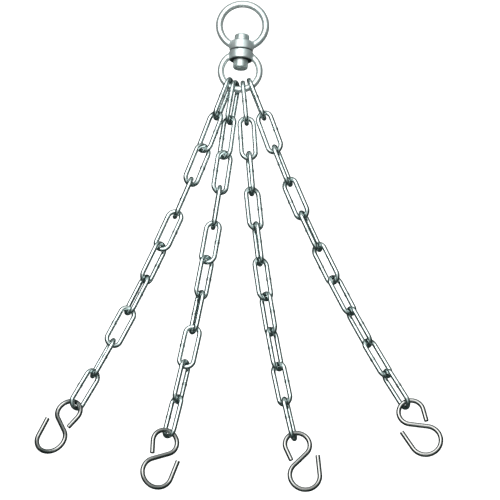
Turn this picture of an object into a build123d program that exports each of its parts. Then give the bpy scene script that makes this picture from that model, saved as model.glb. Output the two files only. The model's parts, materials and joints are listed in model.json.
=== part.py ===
from build123d import *
import os
from math import acos, cos, degrees, radians, sin

# A four leg chain sling: a swivel with two forged eyes, four legs of long link
# chain, and an S hook at the end of each leg. Millimetres.
#
# The sling lies flat. +Y is the direction of pull on the top eye, +X is across
# the legs and +Z is up. The origin is the bearing point on the inside of the
# top eye's crown, and the swivel's axis is the Y axis.

# ---- chain: 4 mm long link chain ----
wire = 4.0
inside_length = 32.0
outside_width = 16.0
links_per_leg = 10
play = 0.4                # slack between one link and the next
weld_diameter = 4.7       # swelling of the butt weld on one side of each link
weld_length = 2.2
weld_rounding = 0.3

# ---- top eye and lower eye ----
top_eye_outside = 45.0
top_eye_wire = 6.0
lower_eye_outside = 38.0
lower_eye_wire = 5.5
boss_diameter = 20.0
boss_height = 8.0
boss_rounding = 1.6
boss_gap = 0.4            # between the two bosses
boss_sink = 0.1           # how far the top boss reaches below the top ring's outside
lower_boss_lift = 9.7     # from the middle of the lower ring to the foot of its boss
eye_play = 0.6            # slack between the lower eye and each first link
bore_overrun = 1.0        # the bore's cutter runs past both faces by this

# ---- swivel pin ----
pin_diameter = 8.0
pin_head_diameter = 12.4
pin_head_height = 6.5
pin_head_chamfer = 1.0
bore_clearance = 0.08     # radial, between the shank and each bore
pin_end_play = 0.2
collar_height = 7.3
collar_rounding = 1.5
rivet_rise = 0.7          # the shank's end, headed over, stands this far past the collar
rivet_taper = 1.0

# ---- S hook ----
hook_wire = 4.0
upper_loop_radius = 10.5  # to the middle of the wire, as are the next two
lower_loop_radius = 12.7
loop_spacing = 27.8
upper_arm = 10.9
upper_arm_slant = 11.0    # closes towards the diagonal, degrees
lower_arm = 17.5
lower_arm_slant = 7.0     # opens away from the mouth, degrees
hook_play = 0.5
cut_edge = 0.3            # chamfer of the cut wire ends

# ---- how the sling lies ----
# One row for each leg, from left to right. ring_angle is where the leg hangs on
# the lower eye, measured from the eye's lowest point. Leans are from straight
# down, positive to the right: of the first link, of the second and of the last.
# A roll of 0 is a link lying flat and 90 one standing on edge; it is positive
# with the left side high.
leg_layout = [
    {"ring_angle": -35, "leans": (-17.5, -17, -26.5),
     "rolls": (77, -35, 32, -81, -14, 54, -59, 15, -72, 42),
     "hook": {"lean": -29.4, "roll": -25, "bearing": 8, "turned_over": False}},
    {"ring_angle": -12.5, "leans": (-6.5, -4.5, -10.5),
     "rolls": (70, -42, 27, -85, -19, 47, -67, -1, 65, -49),
     "hook": {"lean": -10.9, "roll": 17, "bearing": 6, "turned_over": True}},
    {"ring_angle": 12.5, "leans": (8, 6.5, 15.2),
     "rolls": (88, 12, -82, 30, -78, 32, -55, 54, -40, 74),
     "hook": {"lean": 15.7, "roll": 8, "bearing": -9, "turned_over": True}},
    {"ring_angle": 38, "leans": (23.5, 22, 33.6),
     "rolls": (86, -25, 72, -38, 66, -46, 41, -69, 40, -66),
     "hook": {"lean": 28.8, "roll": 0, "bearing": -5, "turned_over": False}},
]
# The side of each link's butt weld, down each leg: -1 is the left side, 1 the right.
weld_sides = [
    (-1, 1, 1, -1, 1, 1, 1, -1, 1, -1),
    (-1, -1, -1, -1, 1, 1, -1, -1, 1, -1),
    (-1, -1, 1, 1, 1, 1, 1, -1, 1, -1),
    (-1, 1, -1, -1, -1, -1, 1, 1, -1, 1),
]

# ---- worked out ----
crown_radius = (outside_width - wire) / 2
crown_to_crown = inside_length + wire
straight = crown_to_crown - 2 * crown_radius
top_eye_radius = (top_eye_outside - top_eye_wire) / 2
lower_eye_radius = (lower_eye_outside - lower_eye_wire) / 2
top_eye_y = -(top_eye_radius - top_eye_wire / 2)
swivel_y = top_eye_y - top_eye_outside / 2 - boss_gap - boss_sink
top_boss_y = swivel_y + boss_gap / 2
lower_boss_y = swivel_y - boss_gap / 2 - boss_height
lower_eye_y = lower_boss_y - lower_boss_lift
head_y = top_boss_y + boss_height + pin_end_play / 2
collar_y = lower_boss_y - pin_end_play - collar_height
bore_radius = pin_diameter / 2 + bore_clearance

os.makedirs("parts", exist_ok=True)


def finish(block, name):
    """Label a finished piece and write it."""
    block.part.label = name
    export_step(block.part, f"parts/{name}.step")


def square_to_swivel(y):
    """The plane across the swivel's axis at y."""
    return Plane(origin=(0, y, 0), x_dir=(1, 0, 0), z_dir=(0, 1, 0))


def lying_plane(origin, lean, roll):
    """The plane of a link or hook: local Y runs up the leg, local X across it."""
    across_leg = Vector(cos(radians(lean)), sin(radians(lean)), 0)
    up = Vector(0, 0, 1)
    x_dir = across_leg * cos(radians(roll)) - up * sin(radians(roll))
    z_dir = up * cos(radians(roll)) + across_leg * sin(radians(roll))
    return Plane(origin=origin, x_dir=x_dir, z_dir=z_dir)


def up_leg(lean):
    """The direction up a leg that leans by this many degrees."""
    return Vector(-sin(radians(lean)), cos(radians(lean)), 0)


# ---------------------------------------------------------------- swivel
def eye(ring_y, ring_radius, ring_wire, boss_y):
    """A forged eye: a round ring that runs into a bored boss on the swivel's axis."""
    with BuildPart() as block:
        with BuildSketch(square_to_swivel(boss_y)):
            Circle(boss_diameter / 2)
        extrude(amount=boss_height)
        fillet(block.edges(), boss_rounding)
        with BuildSketch(Plane.YZ):
            with Locations((ring_y + ring_radius, 0)):
                Circle(ring_wire / 2)
        revolve(axis=Axis((0, ring_y, 0), (0, 0, 1)))
    return block


def bore(boss_y):
    """The cylinder that is cut out of a boss for the pin."""
    with BuildPart() as cutter:
        with BuildSketch(square_to_swivel(boss_y - bore_overrun)):
            Circle(bore_radius)
        extrude(amount=boss_height + 2 * bore_overrun)
    return cutter


top_blank = eye(top_eye_y, top_eye_radius, top_eye_wire, top_boss_y)
top_bore = bore(top_boss_y)
with BuildPart() as top_eye:
    add(top_blank.part)
    add(top_bore.part, mode=Mode.SUBTRACT)
finish(top_eye, "top_eye")

lower_blank = eye(lower_eye_y, lower_eye_radius, lower_eye_wire, lower_boss_y)
lower_bore = bore(lower_boss_y)
with BuildPart() as lower_eye:
    add(lower_blank.part)
    # The ring stops at the boss's upper face, so that the eyes turn freely.
    split(bisect_by=square_to_swivel(lower_boss_y + boss_height), keep=Keep.BOTTOM)
    add(lower_bore.part, mode=Mode.SUBTRACT)
finish(lower_eye, "lower_eye")

with BuildPart() as swivel_pin:
    with BuildSketch(square_to_swivel(head_y)):
        Circle(pin_head_diameter / 2)
    extrude(amount=pin_head_height)
    chamfer(swivel_pin.edges().sort_by(Axis.Y)[-1], pin_head_chamfer)
    with BuildSketch(square_to_swivel(collar_y)):
        Circle(pin_diameter / 2)
    extrude(amount=head_y - collar_y)
    with BuildSketch(Plane.XY):
        with BuildLine():
            Polyline((0, collar_y), (pin_diameter / 2, collar_y),
                     (pin_diameter / 2 - rivet_taper, collar_y - rivet_rise),
                     (0, collar_y - rivet_rise), close=True)
        make_face()
    revolve(axis=Axis.Y)
finish(swivel_pin, "swivel_pin")

with BuildPart() as pin_collar:
    with BuildSketch(square_to_swivel(collar_y)):
        Circle(pin_head_diameter / 2)
        Circle(pin_diameter / 2, mode=Mode.SUBTRACT)
    extrude(amount=collar_height)
    lower_edges = pin_collar.edges().group_by(Axis.Y)[0]
    fillet(lower_edges.sort_by(SortBy.LENGTH)[-1], collar_rounding)
finish(pin_collar, "pin_collar")


# ---------------------------------------------------------------- chain links
def is_weld_edge(edge):
    """True for the two round edges of the weld's swelling."""
    return edge.radius > (wire + weld_diameter) / 4


def chain_link(plane, weld_side):
    """One welded long link, its length along the plane's local Y."""
    with BuildPart() as link:
        with BuildLine(plane) as centre_line:
            right_side = Line((crown_radius, -straight / 2), (crown_radius, straight / 2))
            CenterArc((0, straight / 2), crown_radius, 0, 180)
            Line((-crown_radius, straight / 2), (-crown_radius, -straight / 2))
            CenterArc((0, -straight / 2), crown_radius, 180, 180)
        with BuildSketch(Plane(origin=right_side @ 0, x_dir=plane.x_dir, z_dir=plane.y_dir)):
            Circle(wire / 2)
        sweep(path=centre_line.wire())
        weld_point = plane.from_local_coords(Vector(weld_side * crown_radius, 0, 0))
        with BuildSketch(Plane(origin=weld_point, x_dir=plane.x_dir, z_dir=plane.y_dir)):
            Circle(weld_diameter / 2)
        extrude(amount=weld_length / 2, both=True)
        round_edges = link.edges().filter_by(GeomType.CIRCLE)
        fillet(round_edges.filter_by(is_weld_edge), weld_rounding)
    return link


# ---------------------------------------------------------------- S hooks
def s_hook(plane):
    """An open S of round wire with cut ends: local origin at the upper loop's middle."""
    crossing = degrees(acos((upper_loop_radius + lower_loop_radius) / loop_spacing))
    upper_slant, lower_slant = radians(upper_arm_slant), radians(lower_arm_slant)
    upper_tip = (upper_loop_radius * cos(upper_slant) - upper_arm * sin(upper_slant),
                 -upper_loop_radius * sin(upper_slant) - upper_arm * cos(upper_slant))
    lower_tip = (-lower_loop_radius * cos(lower_slant) - lower_arm * sin(lower_slant),
                 -loop_spacing - lower_loop_radius * sin(lower_slant) + lower_arm * cos(lower_slant))
    with BuildPart() as hook:
        with BuildLine(plane) as centre_line:
            upper_loop = CenterArc((0, 0), upper_loop_radius, -upper_arm_slant,
                                   270 - crossing + upper_arm_slant)
            lower_loop = CenterArc((0, -loop_spacing), lower_loop_radius, 90 - crossing,
                                   lower_arm_slant + crossing - 270)
            Line(upper_tip, upper_loop @ 0)
            Line(upper_loop @ 1, lower_loop @ 0)
            Line(lower_loop @ 1, lower_tip)
        path = centre_line.wire()
        with BuildSketch(Plane(origin=path @ 0, z_dir=path % 0)):
            Circle(hook_wire / 2)
        sweep(path=path)
        ends = hook.faces().filter_by(GeomType.PLANE)
        chamfer(ends.edges(), cut_edge)
    return hook


# ---------------------------------------------------------------- legs
for leg_number, (layout, welds) in enumerate(zip(leg_layout, weld_sides), start=1):
    ring_turn = radians(layout["ring_angle"])
    first_lean, second_lean, last_lean = layout["leans"]
    # holder: the middle of the wire that the next piece hangs on
    holder = Vector(lower_eye_radius * sin(ring_turn), lower_eye_y - lower_eye_radius * cos(ring_turn), 0)
    reach = (lower_eye_wire + wire) / 2 + eye_play
    for link_number in range(1, links_per_leg + 1):
        lean = first_lean
        if link_number > 1:
            lean = second_lean + (last_lean - second_lean) * (link_number - 2) / (links_per_leg - 2)
        upper_crown = holder + up_leg(lean) * reach
        middle = upper_crown - up_leg(lean) * crown_to_crown / 2
        plane = lying_plane(middle, lean, layout["rolls"][link_number - 1])
        link = chain_link(plane, welds[link_number - 1])
        finish(link, f"leg_{leg_number}_link_{link_number:02d}")
        holder = upper_crown - up_leg(lean) * crown_to_crown
        reach = wire + play

    hook = layout["hook"]
    bearing_point = holder + up_leg(lean) * ((wire + hook_wire) / 2 + hook_play)
    plane = lying_plane(bearing_point, hook["lean"], hook["roll"])
    bearing_turn = radians(hook["bearing"])
    loop_middle = plane.from_local_coords(
        Vector(-upper_loop_radius * sin(bearing_turn), -upper_loop_radius * cos(bearing_turn), 0))
    plane = lying_plane(loop_middle, hook["lean"], hook["roll"])
    if hook["turned_over"]:
        plane = Plane(origin=plane.origin, x_dir=-plane.x_dir, z_dir=-plane.z_dir)
    finish(s_hook(plane), f"hook_{leg_number}")
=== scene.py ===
import json
from functools import partial
from math import acos, cos, pi, radians, sin

import bmesh
import bpy
import numpy as np
from bpy.props import FloatProperty, FloatVectorProperty, IntProperty, PointerProperty
from mathutils import Matrix, Vector

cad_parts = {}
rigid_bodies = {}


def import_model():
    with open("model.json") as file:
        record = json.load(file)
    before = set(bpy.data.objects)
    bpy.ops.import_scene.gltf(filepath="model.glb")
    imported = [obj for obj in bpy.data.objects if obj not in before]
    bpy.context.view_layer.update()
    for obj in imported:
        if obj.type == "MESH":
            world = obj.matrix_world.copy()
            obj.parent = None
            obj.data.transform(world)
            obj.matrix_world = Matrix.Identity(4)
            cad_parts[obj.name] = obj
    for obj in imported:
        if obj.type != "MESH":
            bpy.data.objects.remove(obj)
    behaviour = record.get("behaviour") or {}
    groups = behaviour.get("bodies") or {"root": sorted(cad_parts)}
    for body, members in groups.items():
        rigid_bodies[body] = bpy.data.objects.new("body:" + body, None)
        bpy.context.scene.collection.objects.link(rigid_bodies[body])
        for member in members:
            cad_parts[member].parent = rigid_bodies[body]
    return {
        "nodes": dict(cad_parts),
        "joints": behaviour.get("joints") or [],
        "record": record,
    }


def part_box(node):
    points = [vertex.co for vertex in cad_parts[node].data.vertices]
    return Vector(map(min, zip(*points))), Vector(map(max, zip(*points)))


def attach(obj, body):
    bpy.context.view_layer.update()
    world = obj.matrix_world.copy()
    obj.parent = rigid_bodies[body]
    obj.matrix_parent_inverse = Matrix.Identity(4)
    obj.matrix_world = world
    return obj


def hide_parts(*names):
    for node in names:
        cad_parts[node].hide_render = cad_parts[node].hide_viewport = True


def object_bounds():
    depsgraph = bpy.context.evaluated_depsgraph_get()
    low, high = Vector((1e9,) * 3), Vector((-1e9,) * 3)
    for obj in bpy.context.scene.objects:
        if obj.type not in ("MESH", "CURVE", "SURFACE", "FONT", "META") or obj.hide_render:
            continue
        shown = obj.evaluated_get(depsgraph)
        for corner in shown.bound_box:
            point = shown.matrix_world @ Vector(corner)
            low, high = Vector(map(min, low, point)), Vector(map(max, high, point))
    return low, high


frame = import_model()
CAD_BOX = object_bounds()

bl_info = {
    "name": "Four Leg Chain Sling",
    "version": (1, 0, 0),
    "blender": (4, 5, 0),
    "location": "View3D > Sidebar > Sling",
    "description": "Makes a four leg chain sling: swivel, welded long link chain and S hooks",
    "category": "Add Mesh",
}

MM = 0.001

# ---- sizes shared with the CAD model ----
WIRE = 4.0 * MM
CROWN_RADIUS = 6.0 * MM
CROWN_TO_CROWN = 36.0 * MM
LINKS_PER_LEG = 10
BOSS_HEIGHT = 8.0 * MM
BORE_RADIUS = 4.08 * MM
SHANK_RADIUS = 4.0 * MM
TOP_EYE_WIRE = 6.0 * MM
LOWER_EYE_WIRE = 5.5 * MM
HEAD_HEIGHT = 6.5 * MM
HOOK_WIRE = 4.0 * MM
UPPER_LOOP = 10.5 * MM
LOWER_LOOP = 12.7 * MM
LOOP_SPACING = 27.8 * MM
UPPER_ARM = 10.9 * MM
LOWER_ARM = 17.5 * MM
UPPER_SLANT = radians(11.0)
LOWER_SLANT = radians(7.0)

# ---- edges and seams that the eye sees ----
BOSS_ROUNDING = 1.1 * MM
BOSS_EDGE_EASE = 0.4 * MM
BORE_OVERRUN = 1.0 * MM
HEAD_EDGE = 1.2 * MM
HEAD_DOME = 0.25 * MM
COLLAR_FOOT = 1.5 * MM
TURNED_EDGE = 0.3 * MM
WELD_LINE_HALF_WIDTH = 0.42 * MM

# ---- studio ----
FLOOR_HALF_SIDE = 6.0
LIGHT_PLACE = (-0.5, 0.5, 1.9)      # from the camera's aim
LIGHT_SIDE = 1.6
LIGHT_POWER = 26.0

# The side of each link's butt weld, down each leg: -1 is the left side, 1 the right.
WELD_SIDES = (
    (-1, 1, 1, -1, 1, 1, 1, -1, 1, -1),
    (-1, -1, -1, -1, 1, 1, -1, -1, 1, -1),
    (-1, -1, 1, 1, 1, 1, 1, -1, 1, -1),
    (-1, 1, -1, -1, -1, -1, 1, 1, -1, 1),
)


# ------------------------------------------------------------ settings
class SlingChainSettings(bpy.types.PropertyGroup):
    """The look of the chain's links."""
    colour: FloatVectorProperty(
        name="Plating", description="Colour of the links' zinc plating",
        subtype="COLOR", min=0.0, max=1.0, default=(0.64, 0.715, 0.705))
    roughness: FloatProperty(
        name="Roughness", description="Mean roughness of the plating",
        min=0.02, max=1.0, default=0.17)
    weld_swelling: FloatProperty(
        name="Weld swelling", description="How far the butt weld stands out of the wire",
        unit="LENGTH", min=0.0, max=0.001, default=0.5 * MM)
    weld_length: FloatProperty(
        name="Weld length", description="Length of the swelling along the wire",
        unit="LENGTH", min=0.0005, max=0.006, default=3.0 * MM)
    groove_depth: FloatProperty(
        name="Weld groove", description="Depth of the line where the wire's ends met",
        unit="LENGTH", min=0.0, max=0.0008, default=0.24 * MM)
    rings: IntProperty(
        name="Rings", description="Cross-sections round each link",
        min=40, max=400, default=220)
    sides: IntProperty(
        name="Sides", description="Points round the wire", min=8, max=48, default=20)


class SlingSwivelSettings(bpy.types.PropertyGroup):
    """The look of the two forged eyes and of the pin."""
    eye_colour: FloatVectorProperty(
        name="Eye plating", description="Colour of the forged eyes' zinc plating",
        subtype="COLOR", min=0.0, max=1.0, default=(0.84, 0.90, 0.89))
    pin_colour: FloatVectorProperty(
        name="Pin plating", description="Colour of the pin's zinc plating",
        subtype="COLOR", min=0.0, max=1.0, default=(0.70, 0.77, 0.755))
    blend: FloatProperty(
        name="Blend", description="Size of the forged blend between ring and boss",
        unit="LENGTH", min=0.0005, max=0.004, default=1.5 * MM)
    voxel: FloatProperty(
        name="Mesh size", description="Size of the eyes' faces",
        unit="LENGTH", min=0.0003, max=0.001, default=0.42 * MM)
    forge_ripple: FloatProperty(
        name="Forged ripple", description="Height of the uneven surface that forging leaves",
        unit="LENGTH", min=0.0, max=0.0002, default=0.045 * MM)


class SlingHookSettings(bpy.types.PropertyGroup):
    """The look of the S hooks."""
    colour: FloatVectorProperty(
        name="Wire plating", description="Colour of the hooks' plated wire",
        subtype="COLOR", min=0.0, max=1.0, default=(0.31, 0.31, 0.30))
    cut_edge: FloatProperty(
        name="Cut edge", description="Easing of the wire's edge at its cut",
        unit="LENGTH", min=0.0001, max=0.001, default=0.35 * MM)
    hand_bend: FloatProperty(
        name="Hand bend", description="How far the wire wanders from a true curve",
        unit="LENGTH", min=0.0, max=0.0005, default=0.12 * MM)


class SlingStageSettings(bpy.types.PropertyGroup):
    """Floor, light and camera."""
    floor_colour: FloatVectorProperty(
        name="Floor", description="Colour of the floor",
        subtype="COLOR", min=0.0, max=1.0, default=(0.93, 0.93, 0.93))
    aim: FloatVectorProperty(
        name="Aim", description="Point in the sling's plane that the camera looks at",
        subtype="TRANSLATION", unit="LENGTH", default=(16.2 * MM, -216.7 * MM, 0.0))
    distance: FloatProperty(
        name="Distance", description="Distance from the camera to the aim",
        unit="LENGTH", min=0.3, max=40.0, default=20.0)
    elevation: FloatProperty(
        name="Elevation", description="Height of the camera above the horizon",
        subtype="ANGLE", unit="ROTATION", default=radians(70.0))
    turn: FloatProperty(
        name="Turn", description="Turn of the camera round the vertical",
        subtype="ANGLE", unit="ROTATION", default=radians(2.85))
    lens: FloatProperty(
        name="Lens", description="Focal length in millimetres", min=20.0, max=3000.0, default=1717.0)


# ------------------------------------------------------------ reading the frame
def joint_of(body):
    """The joint that carries this body."""
    return next(j for j in frame["joints"] if j["child"] == body)


def joint_below(body):
    """The joint that hangs on this body."""
    return next(j for j in frame["joints"] if j["parent"] == body)


def mount(name):
    """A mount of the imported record."""
    return next(m for m in frame["record"]["mounts"] if m["name"] == name)


def place(origin, x_dir, y_dir):
    """The matrix that stands a local XY plane in the frame."""
    z_dir = x_dir.cross(y_dir)
    turn = Matrix((x_dir, y_dir, z_dir)).transposed()
    return Matrix.Translation(origin) @ turn.to_4x4()


def link_place(body):
    """Where a link lies: local Y up the leg, local X to the right across it."""
    top = Vector(joint_of(body)["pos_m"])
    below = joint_below(body)
    lower_crown = Vector(below["pos_m"])
    up_leg = (top - lower_crown).normalized()
    across = Vector((up_leg.y, -up_leg.x, 0.0))
    x_dir = Vector(below["axis"])
    x_dir = (x_dir - x_dir.dot(up_leg) * up_leg).normalized()
    if x_dir.dot(across) < 0:
        x_dir.negate()
    return place(lower_crown + up_leg * CROWN_TO_CROWN / 2, x_dir, up_leg)


def hook_place(name):
    """Where a hook lies: origin at the upper loop's middle, local Y towards it from the lower one."""
    bearing = mount(name)
    up_hook = -Vector(bearing["axis"]).normalized()
    origin = Vector(bearing["pos_m"]) + up_hook * (LOOP_SPACING + LOWER_LOOP - HOOK_WIRE / 2)
    points = np.array([v.co for v in frame["nodes"][name].data.vertices]) - np.array(origin)
    flat = points - np.outer(points @ np.array(up_hook), np.array(up_hook))
    spread = np.linalg.eigh(flat.T @ flat)[1]
    x_dir = Vector(spread[:, 2])
    x_dir = (x_dir - x_dir.dot(up_hook) * up_hook).normalized()
    reach = points @ np.array(x_dir)
    if reach.max() > -reach.min():      # the lower arm reaches further, on the -X side
        x_dir.negate()
    return place(origin, x_dir, up_hook)


# ------------------------------------------------------------ shader effects
def add_sockets(group, inputs, outputs):
    """Named inputs, each with a kind and a default, and named outputs of a node group."""
    for name, kind, default in inputs:
        made = group.interface.new_socket(name, in_out="INPUT", socket_type=kind)
        made.default_value = default
    for name, kind in outputs:
        group.interface.new_socket(name, in_out="OUTPUT", socket_type=kind)


def plating_group():
    """Zinc plating: a slightly clouded colour and roughness, and fine grain for a bump."""
    group = bpy.data.node_groups.new("zinc_plating", "ShaderNodeTree")
    add_sockets(
        group,
        [("Colour", "NodeSocketColor", (0.7, 0.7, 0.7, 1.0)),
         ("Roughness", "NodeSocketFloat", 0.2),
         ("Cloud Size", "NodeSocketFloat", 90.0),
         ("Clouding", "NodeSocketFloat", 0.5),
         ("Grain Size", "NodeSocketFloat", 2600.0)],
        [("Colour", "NodeSocketColor"), ("Roughness", "NodeSocketFloat"), ("Grain", "NodeSocketFloat")])
    nodes, links = group.nodes, group.links
    given = nodes.new("NodeGroupInput")
    result = nodes.new("NodeGroupOutput")
    place_in = nodes.new("ShaderNodeTexCoord")
    clouds = nodes.new("ShaderNodeTexNoise")
    clouds.inputs["Detail"].default_value = 5.0
    clouds.inputs["Roughness"].default_value = 0.62
    links.new(place_in.outputs["Object"], clouds.inputs["Vector"])
    links.new(given.outputs["Cloud Size"], clouds.inputs["Scale"])
    # patches of cooler, duller zinc
    dull = nodes.new("ShaderNodeMix")
    dull.data_type = "RGBA"
    dull.blend_type = "MULTIPLY"
    dull.inputs["B"].default_value = (0.78, 0.86, 0.87, 1.0)
    patches = nodes.new("ShaderNodeMapRange")
    patches.interpolation_type = "SMOOTHSTEP"
    patches.inputs["From Min"].default_value = 0.42
    patches.inputs["From Max"].default_value = 0.68
    amount = nodes.new("ShaderNodeMath")
    amount.operation = "MULTIPLY"
    links.new(clouds.outputs["Fac"], patches.inputs["Value"])
    links.new(patches.outputs["Result"], amount.inputs[0])
    links.new(given.outputs["Clouding"], amount.inputs[1])
    links.new(amount.outputs["Value"], dull.inputs["Factor"])
    links.new(given.outputs["Colour"], dull.inputs["A"])
    links.new(dull.outputs["Result"], result.inputs["Colour"])
    # the duller patches are rougher too
    rise = nodes.new("ShaderNodeMath")
    rise.operation = "MULTIPLY_ADD"
    rise.inputs[1].default_value = 0.16
    links.new(amount.outputs["Value"], rise.inputs[0])
    links.new(given.outputs["Roughness"], rise.inputs[2])
    links.new(rise.outputs["Value"], result.inputs["Roughness"])
    grain = nodes.new("ShaderNodeTexNoise")
    grain.inputs["Detail"].default_value = 3.0
    links.new(place_in.outputs["Object"], grain.inputs["Vector"])
    links.new(given.outputs["Grain Size"], grain.inputs["Scale"])
    links.new(grain.outputs["Fac"], result.inputs["Grain"])
    return group


def scuff_group():
    """Fine scuffs and nicks from handling, as a mask."""
    group = bpy.data.node_groups.new("handling_scuffs", "ShaderNodeTree")
    add_sockets(
        group,
        [("Size", "NodeSocketFloat", 320.0), ("Coverage", "NodeSocketFloat", 0.3)],
        [("Mask", "NodeSocketFloat")])
    nodes, links = group.nodes, group.links
    given = nodes.new("NodeGroupInput")
    result = nodes.new("NodeGroupOutput")
    place_in = nodes.new("ShaderNodeTexCoord")
    stretch = nodes.new("ShaderNodeMapping")
    stretch.inputs["Rotation"].default_value = (0.5, 0.3, 0.7)
    stretch.inputs["Scale"].default_value = (1.0, 0.12, 0.6)
    cells = nodes.new("ShaderNodeTexVoronoi")
    cells.feature = "DISTANCE_TO_EDGE"
    lines = nodes.new("ShaderNodeMapRange")
    lines.inputs["From Min"].default_value = 0.05
    lines.inputs["From Max"].default_value = 0.0
    where = nodes.new("ShaderNodeTexNoise")
    where.inputs["Scale"].default_value = 70.0
    some = nodes.new("ShaderNodeMath")
    some.operation = "LESS_THAN"
    both = nodes.new("ShaderNodeMath")
    both.operation = "MULTIPLY"
    links.new(place_in.outputs["Object"], stretch.inputs["Vector"])
    links.new(stretch.outputs["Vector"], cells.inputs["Vector"])
    links.new(given.outputs["Size"], cells.inputs["Scale"])
    links.new(cells.outputs["Distance"], lines.inputs["Value"])
    links.new(place_in.outputs["Object"], where.inputs["Vector"])
    links.new(where.outputs["Fac"], some.inputs[0])
    links.new(given.outputs["Coverage"], some.inputs[1])
    links.new(lines.outputs["Result"], both.inputs[0])
    links.new(some.outputs["Value"], both.inputs[1])
    links.new(both.outputs["Value"], result.inputs["Mask"])
    return group


def effect(name, make):
    """A node group, made once."""
    return bpy.data.node_groups.get(name) or make()


def plated_metal(name, colour, roughness, clouding, scuffs, grain_height, dark_mark="", satin=0.0,
                 metallic=1.0):
    """A zinc plated steel. dark_mark names the attribute where the colour is darkened: a real dark weld
    seam on the links, painted shade on the eyes' boss ends. satin is the roughness that turned faces have
    on top, where the turned attribute marks them."""
    material = bpy.data.materials.new(name)
    material.use_nodes = True
    nodes, links = material.node_tree.nodes, material.node_tree.links
    shader = nodes["Principled BSDF"]
    shader.inputs["Metallic"].default_value = metallic
    shader.inputs["IOR"].default_value = 1.5
    plating = nodes.new("ShaderNodeGroup")
    plating.node_tree = effect("zinc_plating", plating_group)
    plating.inputs["Colour"].default_value = (*colour, 1.0)
    plating.inputs["Roughness"].default_value = roughness
    plating.inputs["Clouding"].default_value = clouding
    worn = nodes.new("ShaderNodeGroup")
    worn.node_tree = effect("handling_scuffs", scuff_group)
    worn.inputs["Coverage"].default_value = scuffs
    # scuffs are duller than the plating round them
    dulled = nodes.new("ShaderNodeMath")
    dulled.operation = "MULTIPLY_ADD"
    dulled.inputs[1].default_value = 0.22
    links.new(worn.outputs["Mask"], dulled.inputs[0])
    links.new(plating.outputs["Roughness"], dulled.inputs[2])
    if satin:
        turned = nodes.new("ShaderNodeAttribute")
        turned.attribute_name = "turned"
        rougher = nodes.new("ShaderNodeMath")
        rougher.operation = "MULTIPLY_ADD"
        rougher.inputs[1].default_value = satin
        links.new(turned.outputs["Fac"], rougher.inputs[0])
        links.new(dulled.outputs["Value"], rougher.inputs[2])
        dulled = rougher
    links.new(dulled.outputs["Value"], shader.inputs["Roughness"])
    height = nodes.new("ShaderNodeMath")
    height.operation = "MULTIPLY_ADD"
    height.inputs[1].default_value = -1.4
    links.new(worn.outputs["Mask"], height.inputs[0])
    links.new(plating.outputs["Grain"], height.inputs[2])
    bump = nodes.new("ShaderNodeBump")
    bump.inputs["Strength"].default_value = 0.35
    bump.inputs["Distance"].default_value = grain_height
    links.new(height.outputs["Value"], bump.inputs["Height"])
    links.new(bump.outputs["Normal"], shader.inputs["Normal"])
    if not dark_mark:
        links.new(plating.outputs["Colour"], shader.inputs["Base Color"])
        return material
    # darkened where dark_mark says: a real weld seam on the links, painted shade on the eyes
    marked = nodes.new("ShaderNodeAttribute")
    marked.attribute_name = dark_mark
    darker = nodes.new("ShaderNodeMix")
    darker.data_type = "RGBA"
    darker.inputs["B"].default_value = (0.03, 0.04, 0.04, 1.0)
    links.new(marked.outputs["Fac"], darker.inputs["Factor"])
    links.new(plating.outputs["Colour"], darker.inputs["A"])
    links.new(darker.outputs["Result"], shader.inputs["Base Color"])
    return material


# ------------------------------------------------------------ mesh helpers
def new_piece(name, mesh, material, body, node):
    """Put a finished mesh in the scene: it rides on a body and stands for a CAD node."""
    mesh.name = name
    mesh.materials.clear()
    mesh.materials.append(material)
    mesh.shade_smooth()
    piece = bpy.data.objects.new(name, mesh)
    bpy.context.scene.collection.objects.link(piece)
    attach(piece, body)
    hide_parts(node)
    return piece


def lathe(profile, sides=96):
    """A closed mesh turned round the Y axis from (radius, y) points, the first and last on the axis."""
    made = bmesh.new()
    turns = [2 * pi * i / sides for i in range(sides)]
    first = made.verts.new((0.0, profile[0][1], 0.0))
    last = made.verts.new((0.0, profile[-1][1], 0.0))
    rings = [[made.verts.new((r * cos(a), y, r * sin(a))) for a in turns] for r, y in profile[1:-1]]
    for i in range(sides):
        j = (i + 1) % sides
        made.faces.new((first, rings[0][i], rings[0][j]))
        made.faces.new((last, rings[-1][j], rings[-1][i]))
        for near, far in zip(rings, rings[1:]):
            made.faces.new((near[i], far[i], far[j], near[j]))
    bmesh.ops.recalc_face_normals(made, faces=made.faces)
    mesh = bpy.data.meshes.new("turned")
    made.to_mesh(mesh)
    made.free()
    return mesh


def turned_ring(section, sides=96):
    """A closed ring turned round the Y axis from a closed (radius, y) section."""
    made = bmesh.new()
    rings = [[made.verts.new((r * cos(a), y, r * sin(a))) for r, y in section]
             for a in (2 * pi * i / sides for i in range(sides))]
    count = len(section)
    for near, far in zip(rings, rings[1:] + rings[:1]):
        for i in range(count):
            j = (i + 1) % count
            made.faces.new((near[i], near[j], far[j], far[i]))
    bmesh.ops.recalc_face_normals(made, faces=made.faces)
    mesh = bpy.data.meshes.new("turned")
    made.to_mesh(mesh)
    made.free()
    return mesh


def rounded(corner_radius, corner_y, radius, start, end, steps):
    """Points of a rounded corner about (corner_radius, corner_y), from one angle in degrees to another."""
    turns = np.linspace(radians(start), radians(end), steps)
    return [(corner_radius + radius * cos(a), corner_y + radius * sin(a)) for a in turns]


# ------------------------------------------------------------ chain
def math_node(tree, operation, first, second=None):
    """A Math node fed by sockets or numbers; returns its output."""
    node = tree.nodes.new("ShaderNodeMath")
    node.operation = operation
    for socket, value in zip(node.inputs, (first, second)):
        if isinstance(value, bpy.types.NodeSocket):
            tree.links.new(value, socket)
        elif value is not None:
            socket.default_value = value
    return node.outputs["Value"]


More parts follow.
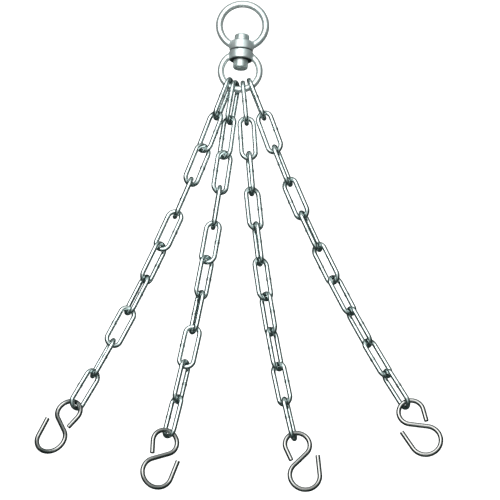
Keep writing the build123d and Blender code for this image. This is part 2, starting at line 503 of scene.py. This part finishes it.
def smooth_band(tree, value, outer, inner):
    """1 where value is under inner, falling smoothly to 0 at outer."""
    node = tree.nodes.new("ShaderNodeMapRange")
    node.interpolation_type = "SMOOTHSTEP"
    for name, given in (("Value", value), ("From Min", outer), ("From Max", inner)):
        if isinstance(given, bpy.types.NodeSocket):
            tree.links.new(given, node.inputs[name])
        else:
            node.inputs[name].default_value = given
    return node.outputs["Result"]


def link_tree():
    """Geometry Nodes for one welded link, its length along Y, with the weld on one side."""
    tree = bpy.data.node_groups.new("welded_long_link", "GeometryNodeTree")
    face = tree.interface
    face.new_socket("Geometry", in_out="OUTPUT", socket_type="NodeSocketGeometry")
    for name, default in (
            ("Width", 2 * CROWN_RADIUS), ("Length", CROWN_TO_CROWN), ("Wire Radius", WIRE / 2),
            ("Weld Side", 1.0), ("Weld Length", 3.0 * MM), ("Weld Swelling", 0.5 * MM),
            ("Groove Depth", 0.24 * MM), ("Seed", 0.0)):
        face.new_socket(name, in_out="INPUT", socket_type="NodeSocketFloat").default_value = default
    for name, default in (("Rings", 200), ("Sides", 16)):
        face.new_socket(name, in_out="INPUT", socket_type="NodeSocketInt").default_value = default
    face.new_socket("Material", in_out="INPUT", socket_type="NodeSocketMaterial")
    nodes, links = tree.nodes, tree.links
    given = nodes.new("NodeGroupInput").outputs
    result = nodes.new("NodeGroupOutput")

    # the centre line: a rectangle whose corners are rounded into two crowns
    outline = nodes.new("GeometryNodeCurvePrimitiveQuadrilateral")
    links.new(given["Width"], outline.inputs["Width"])
    links.new(given["Length"], outline.inputs["Height"])
    crowns = nodes.new("GeometryNodeFilletCurve")
    crowns.mode = "POLY"
    crowns.inputs["Count"].default_value = 40
    links.new(outline.outputs["Curve"], crowns.inputs["Curve"])
    under_half = math_node(tree, "MULTIPLY", given["Width"], 0.4999)    # so that no two corners meet
    links.new(under_half, crowns.inputs["Radius"])
    even = nodes.new("GeometryNodeResampleCurve")
    links.new(crowns.outputs["Curve"], even.inputs["Curve"])
    links.new(given["Rings"], even.inputs["Count"])
    section = nodes.new("GeometryNodeCurvePrimitiveCircle")
    links.new(given["Sides"], section.inputs["Resolution"])
    links.new(given["Wire Radius"], section.inputs["Radius"])
    tube = nodes.new("GeometryNodeCurveToMesh")
    links.new(even.outputs["Curve"], tube.inputs["Curve"])
    links.new(section.outputs["Curve"], tube.inputs["Profile Curve"])

    # the weld: an uneven swelling with a fine groove round its middle, on one side
    where = nodes.new("GeometryNodeInputPosition").outputs["Position"]
    parts = nodes.new("ShaderNodeSeparateXYZ")
    links.new(where, parts.inputs["Vector"])
    towards_side = math_node(tree, "MULTIPLY", parts.outputs["X"], given["Weld Side"])
    on_side = math_node(tree, "GREATER_THAN", towards_side, 0.0)
    from_weld = math_node(tree, "ABSOLUTE", parts.outputs["Y"])
    half_length = math_node(tree, "MULTIPLY", given["Weld Length"], 0.5)
    swelling = smooth_band(tree, from_weld, half_length, math_node(tree, "MULTIPLY", half_length, 0.35))
    uneven = nodes.new("ShaderNodeTexNoise")
    uneven.noise_dimensions = "4D"
    uneven.inputs["Scale"].default_value = 700.0
    links.new(where, uneven.inputs["Vector"])
    links.new(given["Seed"], uneven.inputs["W"])
    unevenness = math_node(tree, "ADD", math_node(tree, "MULTIPLY", uneven.outputs["Fac"], 0.7), 0.3)
    share = math_node(tree, "MULTIPLY", swelling, unevenness)
    raised = math_node(tree, "MULTIPLY", share, given["Weld Swelling"])
    groove = smooth_band(tree, from_weld, WELD_LINE_HALF_WIDTH, 0.0)
    height = math_node(tree, "SUBTRACT", raised, math_node(tree, "MULTIPLY", groove, given["Groove Depth"]))
    height = math_node(tree, "MULTIPLY", height, on_side)
    outwards = nodes.new("ShaderNodeVectorMath")
    outwards.operation = "SCALE"
    links.new(nodes.new("GeometryNodeInputNormal").outputs["Normal"], outwards.inputs["Vector"])
    links.new(height, outwards.inputs["Scale"])
    marked = nodes.new("GeometryNodeStoreNamedAttribute")
    marked.data_type = "FLOAT"
    marked.domain = "POINT"
    marked.inputs["Name"].default_value = "weld_seam"
    links.new(tube.outputs["Mesh"], marked.inputs["Geometry"])
    links.new(math_node(tree, "MULTIPLY", groove, on_side), marked.inputs["Value"])
    shaped = nodes.new("GeometryNodeSetPosition")
    links.new(marked.outputs["Geometry"], shaped.inputs["Geometry"])
    links.new(outwards.outputs["Vector"], shaped.inputs["Offset"])

    whole = nodes.new("GeometryNodeRealizeInstances")
    links.new(shaped.outputs["Geometry"], whole.inputs["Geometry"])
    finish = nodes.new("GeometryNodeSetMaterial")
    links.new(whole.outputs["Geometry"], finish.inputs["Geometry"])
    links.new(given["Material"], finish.inputs["Material"])
    links.new(finish.outputs["Geometry"], result.inputs["Geometry"])
    return tree


def evaluated_mesh(tree, values):
    """The plain mesh that a Geometry Nodes tree makes with these inputs."""
    carrier = bpy.data.objects.new("carrier", bpy.data.meshes.new("carrier"))
    bpy.context.scene.collection.objects.link(carrier)
    modifier = carrier.modifiers.new(tree.name, "NODES")
    modifier.node_group = tree
    for item in tree.interface.items_tree:
        if item.in_out == "INPUT" and item.name in values:
            modifier[item.identifier] = values[item.name]
    graph = bpy.context.evaluated_depsgraph_get()
    mesh = bpy.data.meshes.new_from_object(carrier.evaluated_get(graph), depsgraph=graph)
    carrier.modifiers.remove(modifier)
    bpy.data.objects.remove(carrier)
    if len(mesh.polygons) == 0:
        raise RuntimeError(f"{tree.name} made no faces")
    return mesh


class SLING_OT_chain(bpy.types.Operator):
    """Make the forty welded links of the four legs"""
    bl_idname = "sling.make_chain"
    bl_label = "Make Chain"

    def execute(self, context):
        look = context.scene.sling_chain
        material = plated_metal("chain_zinc", look.colour, roughness=look.roughness, clouding=0.55,
                                scuffs=0.42, grain_height=0.03 * MM, dark_mark="weld_seam")
        tree = link_tree()
        for leg, welds in enumerate(WELD_SIDES, start=1):
            for number, side in enumerate(welds, start=1):
                node = f"leg_{leg}_link_{number:02d}"
                mesh = evaluated_mesh(tree, {
                    "Width": 2 * CROWN_RADIUS, "Length": CROWN_TO_CROWN, "Wire Radius": WIRE / 2,
                    "Weld Side": float(side), "Weld Length": look.weld_length,
                    "Weld Swelling": look.weld_swelling, "Groove Depth": look.groove_depth,
                    "Seed": float(leg * LINKS_PER_LEG + number),
                    "Rings": look.rings, "Sides": look.sides, "Material": material})
                mesh.transform(link_place(node))
                new_piece(f"welded_link_{leg}_{number:02d}", mesh, material, node, node)
        return {"FINISHED"}


# ------------------------------------------------------------ forged eyes
def smooth_union(a, b, size):
    """The nearer of two distances, with a fillet of about this size between the shapes."""
    share = np.clip(0.5 + 0.5 * (b - a) / size, 0.0, 1.0)
    return b * (1 - share) + a * share - size * share * (1 - share)


def smooth_cut(a, b, size):
    """The further of two distances, its edge eased by this size."""
    return -smooth_union(-a, -b, size)


def eye_distance(points, ring_y, ring_radius, wire, boss_low, boss_radius, blend, cut_above):
    """Signed distance from a forged eye: a ring that flows into a bored boss on the Y axis."""
    x, y, z = points.T
    ring = np.hypot(np.hypot(x, y - ring_y) - ring_radius, z) - wire / 2
    from_axis = np.hypot(x, z)
    past_end = np.abs(y - boss_low - BOSS_HEIGHT / 2) - BOSS_HEIGHT / 2
    out = from_axis - boss_radius + BOSS_ROUNDING
    along = past_end + BOSS_ROUNDING
    corner = np.hypot(np.maximum(out, 0), np.maximum(along, 0))
    boss = corner + np.minimum(np.maximum(out, along), 0) - BOSS_ROUNDING
    eye = smooth_union(ring, boss, blend)
    # nothing reaches over the gap between the two bosses
    over_gap = y - boss_low - BOSS_HEIGHT if cut_above else boss_low - y
    eye = smooth_cut(eye, over_gap, BOSS_EDGE_EASE)
    bore = np.maximum(from_axis - BORE_RADIUS, past_end - BORE_OVERRUN)
    return smooth_cut(eye, -bore, BOSS_EDGE_EASE)


def forge_ripple(points, height):
    """Slow hollows and swells of a forged surface, as a distance."""
    x, y, z = points.T / MM
    waves = np.sin(0.9 * x + 0.4 * z + 1.3) * np.sin(0.7 * y - 0.5 * x)
    waves = waves + 0.6 * np.sin(1.9 * z + 1.1 * y) * np.sin(1.6 * x - 0.8 * y + 0.7)
    return waves * height


def forged_mesh(node, distance, voxel, ripple, passes=8):
    """A CAD eye's copy, meshed evenly and drawn in a few passes onto the surface where distance is 0."""
    # the copy's loose triangles are joined first
    source = frame["nodes"][node].data.copy()
    made = bmesh.new()
    made.from_mesh(source)
    bmesh.ops.remove_doubles(made, verts=made.verts, dist=0.02 * MM)
    made.to_mesh(source)
    made.free()
    carrier = bpy.data.objects.new("carrier", source)
    bpy.context.scene.collection.objects.link(carrier)
    remesh = carrier.modifiers.new("even_faces", "REMESH")
    remesh.mode = "VOXEL"
    remesh.voxel_size = voxel
    graph = bpy.context.evaluated_depsgraph_get()
    mesh = bpy.data.meshes.new_from_object(carrier.evaluated_get(graph), depsgraph=graph)
    bpy.data.objects.remove(carrier)
    bpy.data.meshes.remove(source)
    count = len(mesh.vertices)
    if count == 0:
        raise RuntimeError(f"{node} could not be meshed")
    flat = np.zeros(count * 3)
    mesh.vertices.foreach_get("co", flat)
    points = flat.reshape(-1, 3)
    step = 0.01 * MM
    for _ in range(passes):
        off = distance(points)
        slope = np.stack([(distance(points + step * axis) - distance(points - step * axis)) / (2 * step)
                          for axis in np.eye(3)], axis=1)
        steep = np.maximum((slope ** 2).sum(axis=1), 0.25)
        points = points - slope * (off / steep)[:, None]
    size = np.sqrt(np.maximum((slope ** 2).sum(axis=1), 1e-6))
    swell = np.minimum(forge_ripple(points, ripple), 0.0)       # hollows only, so nothing grows
    points = points + slope / size[:, None] * swell[:, None]
    mesh.vertices.foreach_set("co", points.ravel())
    mesh.update()
    return mesh


def mark_eye(mesh, boss_low, boss_radius):
    """Store where an eye's boss was turned, and where painted shade darkens the faces at its ends, in the
    crevices between the parts.
    """
    flat = np.zeros(len(mesh.vertices) * 3)
    mesh.vertices.foreach_get("co", flat)
    x, y, z = flat.reshape(-1, 3).T
    from_axis = np.hypot(x, z)
    past_end = np.abs(y - boss_low - BOSS_HEIGHT / 2) - BOSS_HEIGHT / 2
    at_boss = np.clip(1.0 - past_end / (0.8 * MM), 0.0, 1.0)
    turned = at_boss * (1.0 + (boss_radius + 0.5 * MM - from_axis) / (2.5 * MM))
    # painted shade, not dirt: the end faces darken inside the rim, towards the crevices at the boss's ends
    from_rim = np.minimum((past_end + 1.2 * MM) / (0.8 * MM), (boss_radius - from_axis) / (0.9 * MM))
    painted_gap_shade = at_boss * 0.8 * from_rim
    for name, values in (("turned", turned), ("painted_gap_shade", painted_gap_shade)):
        stored = mesh.attributes.new(name, "FLOAT", "POINT")
        stored.data.foreach_set("value", np.clip(values, 0.0, 1.0))


class SLING_OT_eyes(bpy.types.Operator):
    """Make the two forged eyes of the swivel"""
    bl_idname = "sling.make_eyes"
    bl_label = "Make Eyes"

    def execute(self, context):
        look = context.scene.sling_swivel
        # the eyes' dark mark is painted shade in the crevices at the bosses' ends
        material = plated_metal("forged_zinc", look.eye_colour, roughness=0.27, clouding=0.7, scuffs=0.40,
                                grain_height=0.05 * MM, dark_mark="painted_gap_shade", satin=0.14, metallic=0.76)
        for name, node, wire, upper in (("top_forged_eye", "top_eye", TOP_EYE_WIRE, True),
                                        ("lower_forged_eye", "lower_eye", LOWER_EYE_WIRE, False)):
            low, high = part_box(node)
            outside = (high.x - low.x) / 2
            ring_y = high.y - outside if upper else low.y + outside
            boss_low = low.y if upper else high.y - BOSS_HEIGHT
            boss_radius = (high.z - low.z) / 2

            distance = partial(
                eye_distance, ring_y=ring_y, ring_radius=outside - wire / 2, wire=wire, boss_low=boss_low,
                boss_radius=boss_radius, blend=look.blend, cut_above=not upper)
            mesh = forged_mesh(node, distance, look.voxel, look.forge_ripple)
            mark_eye(mesh, boss_low, boss_radius)
            new_piece(name, mesh, material, node, node)
        return {"FINISHED"}


# ------------------------------------------------------------ pin
class SLING_OT_pin(bpy.types.Operator):
    """Make the swivel's headed pin and its riveted collar"""
    bl_idname = "sling.make_pin"
    bl_label = "Make Pin"

    def execute(self, context):
        look = context.scene.sling_swivel
        material = plated_metal("pin_zinc", look.pin_colour, roughness=0.38, clouding=0.8, scuffs=0.45,
                                grain_height=0.05 * MM, metallic=0.8)
        low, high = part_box("swivel_pin")
        collar_low, collar_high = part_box("pin_collar")
        head_radius = (high.x - low.x) / 2
        head_low = high.y - HEAD_HEIGHT
        # a low dome where the shank's end is spread over the collar, then the shank and the head
        rivet = [(0.0, low.y), (SHANK_RADIUS * 0.35, low.y), (SHANK_RADIUS - 1.0 * MM, low.y + 0.1 * MM),
                 (SHANK_RADIUS, collar_low.y)]
        head = rounded(head_radius - TURNED_EDGE, head_low + TURNED_EDGE, TURNED_EDGE, -90, 0, 5)
        crown = rounded(head_radius - HEAD_EDGE, high.y - HEAD_DOME - HEAD_EDGE, HEAD_EDGE, 0, 80, 9)
        top = [(head_radius * 0.45, high.y - 0.05 * MM), (0.0, high.y)]
        profile = rivet + [(SHANK_RADIUS, head_low)] + head + crown + top
        new_piece("headed_pin", lathe(profile), material, "pin", "swivel_pin")

        # the collar, as wide as the head, with a well rounded foot
        wall = rounded(head_radius - COLLAR_FOOT, collar_low.y + COLLAR_FOOT, COLLAR_FOOT, -90, 0, 9)
        shoulder = rounded(head_radius - TURNED_EDGE, collar_high.y - TURNED_EDGE, TURNED_EDGE, 0, 90, 5)
        ring = [(SHANK_RADIUS, collar_low.y)] + wall + shoulder + [(SHANK_RADIUS, collar_high.y)]
        new_piece("riveted_collar", turned_ring(ring), material, "pin", "pin_collar")
        return {"FINISHED"}


# ------------------------------------------------------------ hooks
def arc(middle, radius, start, end, steps):
    """Points of an arc about (0, middle) in the hook's plane."""
    turns = np.linspace(start, end, steps)
    return np.stack([radius * np.cos(turns), middle + radius * np.sin(turns)], axis=1)


def hook_line():
    """The centre line of an S hook, from the upper arm's end to the lower arm's."""
    crossing = acos((UPPER_LOOP + LOWER_LOOP) / LOOP_SPACING)
    upper = arc(0.0, UPPER_LOOP, -UPPER_SLANT, 1.5 * pi - crossing, 72)
    lower = arc(-LOOP_SPACING, LOWER_LOOP, pi / 2 - crossing, LOWER_SLANT - pi, 72)
    upper_way = np.array([-sin(UPPER_SLANT), -cos(UPPER_SLANT)])
    lower_way = np.array([-sin(LOWER_SLANT), cos(LOWER_SLANT)])
    upper_arm = upper[0] + np.outer(np.linspace(UPPER_ARM, 0, 16)[:-1], upper_way)
    lower_arm = lower[-1] + np.outer(np.linspace(0, LOWER_ARM, 24)[1:], lower_way)
    middle = np.linspace(upper[-1], lower[0], 9)[1:-1]
    return np.vstack([upper_arm, upper, middle, lower, lower_arm])


def wire_mesh(line, radius, cut_edge, wander, seed, sides=24):
    """Round wire along a line in the XY plane, cut at its ends and a little out of true."""
    way = np.gradient(line, axis=0)
    way /= np.linalg.norm(way, axis=1)[:, None]
    across = np.stack([-way[:, 1], way[:, 0]], axis=1)
    length = np.concatenate([[0.0], np.cumsum(np.linalg.norm(np.diff(line, axis=0), axis=1))])
    share = length / length[-1]
    ease = np.sin(pi * share)
    off = wander * ease * np.sin(5.1 * pi * share + seed)
    lift = wander * ease * np.cos(3.7 * pi * share + 2.0 * seed)
    centres = np.column_stack([line + across * off[:, None], lift])
    radii = np.full(len(line), radius)
    # the first end's edge is eased over, and the last end is cut square
    first = centres[0].copy()
    centres[0] += np.append(way[0], 0.0) * cut_edge
    centres[-1] -= np.append(way[-1], 0.0) * cut_edge
    centres = np.vstack([first, centres, centres[-1]])
    radii = np.concatenate([[radius - cut_edge], radii, [radius - cut_edge]])
    across = np.vstack([across[:1], across, across[-1:]])
    made = bmesh.new()
    turns = 2 * pi * np.arange(sides) / sides
    rings = []
    for centre, side, r in zip(centres, across, radii):
        side = np.append(side, 0.0)
        ring = centre + r * (np.outer(np.cos(turns), side) + np.outer(np.sin(turns), [0.0, 0.0, 1.0]))
        rings.append([made.verts.new(p) for p in ring])
    for near, far in zip(rings, rings[1:]):
        for i in range(sides):
            j = (i + 1) % sides
            made.faces.new((near[i], near[j], far[j], far[i]))
    for ring, centre in ((rings[0], centres[0]), (rings[-1], centres[-1])):
        middle = made.verts.new(centre)
        for i in range(sides):
            made.faces.new((ring[i], ring[(i + 1) % sides], middle))
    bmesh.ops.recalc_face_normals(made, faces=made.faces)
    mesh = bpy.data.meshes.new("wire")
    made.to_mesh(mesh)
    made.free()
    return mesh


class SLING_OT_hooks(bpy.types.Operator):
    """Make the four S hooks"""
    bl_idname = "sling.make_hooks"
    bl_label = "Make Hooks"

    def execute(self, context):
        look = context.scene.sling_hooks
        material = plated_metal("hook_zinc", look.colour, roughness=0.16, clouding=0.4, scuffs=0.45,
                                grain_height=0.03 * MM)
        line = hook_line()
        for number in range(1, 5):
            name = f"hook_{number}"
            mesh = wire_mesh(line, HOOK_WIRE / 2, look.cut_edge, look.hand_bend, float(number))
            mesh.transform(hook_place(name))
            piece = new_piece(f"s_{name}", mesh, material, name, name)
            piece.data.set_sharp_from_angle(angle=radians(40.0))
        return {"FINISHED"}


# ------------------------------------------------------------ stage
def studio_world():
    """A pale tent overhead, dark below and beside it, and a plain white backdrop behind everything."""
    world = bpy.data.worlds.new("studio")
    world.use_nodes = True
    nodes, links = world.node_tree.nodes, world.node_tree.links
    way = nodes.new("ShaderNodeTexCoord")
    folded = nodes.new("ShaderNodeVectorMath")
    folded.operation = "ABSOLUTE"
    sideways = nodes.new("ShaderNodeVectorMath")
    sideways.operation = "DOT_PRODUCT"
    sideways.inputs[1].default_value = (-0.62, 0.0, 0.0)
    lean = nodes.new("ShaderNodeVectorMath")
    lean.operation = "DOT_PRODUCT"
    lean.inputs[1].default_value = (-0.10, 0.30, 1.0)
    total = nodes.new("ShaderNodeMath")
    total.operation = "ADD"
    ramp = nodes.new("ShaderNodeValToRGB")
    marks = ramp.color_ramp
    marks.elements[0].color = (0.030, 0.042, 0.040, 1.0)
    marks.elements[1].position = 0.78
    marks.elements[1].color = (1.0, 1.0, 1.0, 1.0)
    for position, colour in ((0.12, (0.06, 0.082, 0.078, 1.0)), (0.42, (0.42, 0.50, 0.48, 1.0))):
        marks.elements.new(position).color = colour
    links.new(way.outputs["Generated"], lean.inputs[0])
    links.new(way.outputs["Generated"], folded.inputs[0])
    links.new(folded.outputs["Vector"], sideways.inputs[0])
    links.new(lean.outputs["Value"], total.inputs[0])
    links.new(sideways.outputs["Value"], total.inputs[1])
    links.new(total.outputs["Value"], ramp.inputs["Fac"])
    links.new(ramp.outputs["Color"], nodes["Background"].inputs["Color"])
    nodes["Background"].inputs["Strength"].default_value = 1.05
    backdrop = nodes.new("ShaderNodeBackground")
    backdrop.inputs["Color"].default_value = (1.0, 1.0, 1.0, 1.0)
    seen = nodes.new("ShaderNodeLightPath")
    either = nodes.new("ShaderNodeMixShader")
    links.new(seen.outputs["Is Camera Ray"], either.inputs["Fac"])
    links.new(nodes["Background"].outputs["Background"], either.inputs[1])
    links.new(backdrop.outputs["Background"], either.inputs[2])
    links.new(either.outputs["Shader"], nodes["World Output"].inputs["Surface"])
    return world


def soft_light(name, place_at, aim, size, power):
    """A square area light that points at the aim."""
    light = bpy.data.lights.new(name, "AREA")
    light.shape = "SQUARE"
    light.size = size
    light.energy = power
    lamp = bpy.data.objects.new(name, light)
    lamp.location = place_at
    lamp.rotation_euler = (aim - place_at).to_track_quat("-Z", "Y").to_euler()
    bpy.context.scene.collection.objects.link(lamp)


class SLING_OT_stage(bpy.types.Operator):
    """Make the floor, the studio light and the camera"""
    bl_idname = "sling.make_stage"
    bl_label = "Make Stage"

    def execute(self, context):
        look = context.scene.sling_stage
        scene = context.scene
        floor_material = bpy.data.materials.new("pale_floor")
        floor_material.use_nodes = True
        shader = floor_material.node_tree.nodes["Principled BSDF"]
        shader.inputs["Base Color"].default_value = (*look.floor_colour, 1.0)
        shader.inputs["Roughness"].default_value = 0.9
        shader.inputs["Emission Color"].default_value = (1.0, 1.0, 1.0, 1.0)
        shader.inputs["Emission Strength"].default_value = 0.55
        # low enough for a leg to swing straight down from the plane that the sling lies in
        level = CAD_BOX[0].z - (CAD_BOX[1].y - CAD_BOX[0].y)
        mesh = bpy.data.meshes.new("floor")
        signs = ((-1, -1), (1, -1), (1, 1), (-1, 1))
        corners = [(FLOOR_HALF_SIDE * x, FLOOR_HALF_SIDE * y, level) for x, y in signs]
        mesh.from_pydata(corners, [], [(0, 1, 2, 3)])
        mesh.materials.append(floor_material)
        floor = bpy.data.objects.new("floor", mesh)
        scene.collection.objects.link(floor)
        floor.visible_glossy = False

        scene.world = studio_world()
        aim = Vector(look.aim)
        soft_light("overhead", aim + Vector(LIGHT_PLACE), aim, LIGHT_SIDE, LIGHT_POWER)

        scene.view_settings.view_transform = "Standard"
        camera = bpy.data.objects.new("camera", bpy.data.cameras.new("camera"))
        camera.data.lens = look.lens
        level_way = Vector((sin(look.turn), -cos(look.turn), 0.0))
        back = level_way * cos(look.elevation) + Vector((0.0, 0.0, sin(look.elevation)))
        camera.location = aim + back * look.distance
        camera.rotation_euler = (-back).to_track_quat("-Z", "Y").to_euler()
        scene.collection.objects.link(camera)
        scene.camera = camera
        return {"FINISHED"}


# ------------------------------------------------------------ panel and registration
class SLING_PT_panel(bpy.types.Panel):
    """The sling's settings and operators"""
    bl_idname = "SLING_PT_panel"
    bl_label = "Chain Sling"
    bl_space_type = "VIEW_3D"
    bl_region_type = "UI"
    bl_category = "Sling"

    def draw(self, context):
        for settings in (context.scene.sling_chain, context.scene.sling_swivel,
                         context.scene.sling_hooks, context.scene.sling_stage):
            box = self.layout.box()
            for name in settings.__annotations__:
                box.prop(settings, name)
        for operator in OPERATORS:
            self.layout.operator(operator.bl_idname)


SETTINGS = {
    "sling_chain": SlingChainSettings,
    "sling_swivel": SlingSwivelSettings,
    "sling_hooks": SlingHookSettings,
    "sling_stage": SlingStageSettings,
}
OPERATORS = (SLING_OT_stage, SLING_OT_chain, SLING_OT_eyes, SLING_OT_pin, SLING_OT_hooks)


def register():
    for kind in (*SETTINGS.values(), *OPERATORS, SLING_PT_panel):
        bpy.utils.register_class(kind)
    for name, kind in SETTINGS.items():
        setattr(bpy.types.Scene, name, PointerProperty(type=kind))


def unregister():
    for name in SETTINGS:
        delattr(bpy.types.Scene, name)
    for kind in reversed((*SETTINGS.values(), *OPERATORS, SLING_PT_panel)):
        bpy.utils.unregister_class(kind)


def main():
    """Make the whole sling."""
    register()
    bpy.ops.sling.make_stage()
    bpy.ops.sling.make_chain()
    bpy.ops.sling.make_eyes()
    bpy.ops.sling.make_pin()
    bpy.ops.sling.make_hooks()


if __name__ == "__main__":
    main()
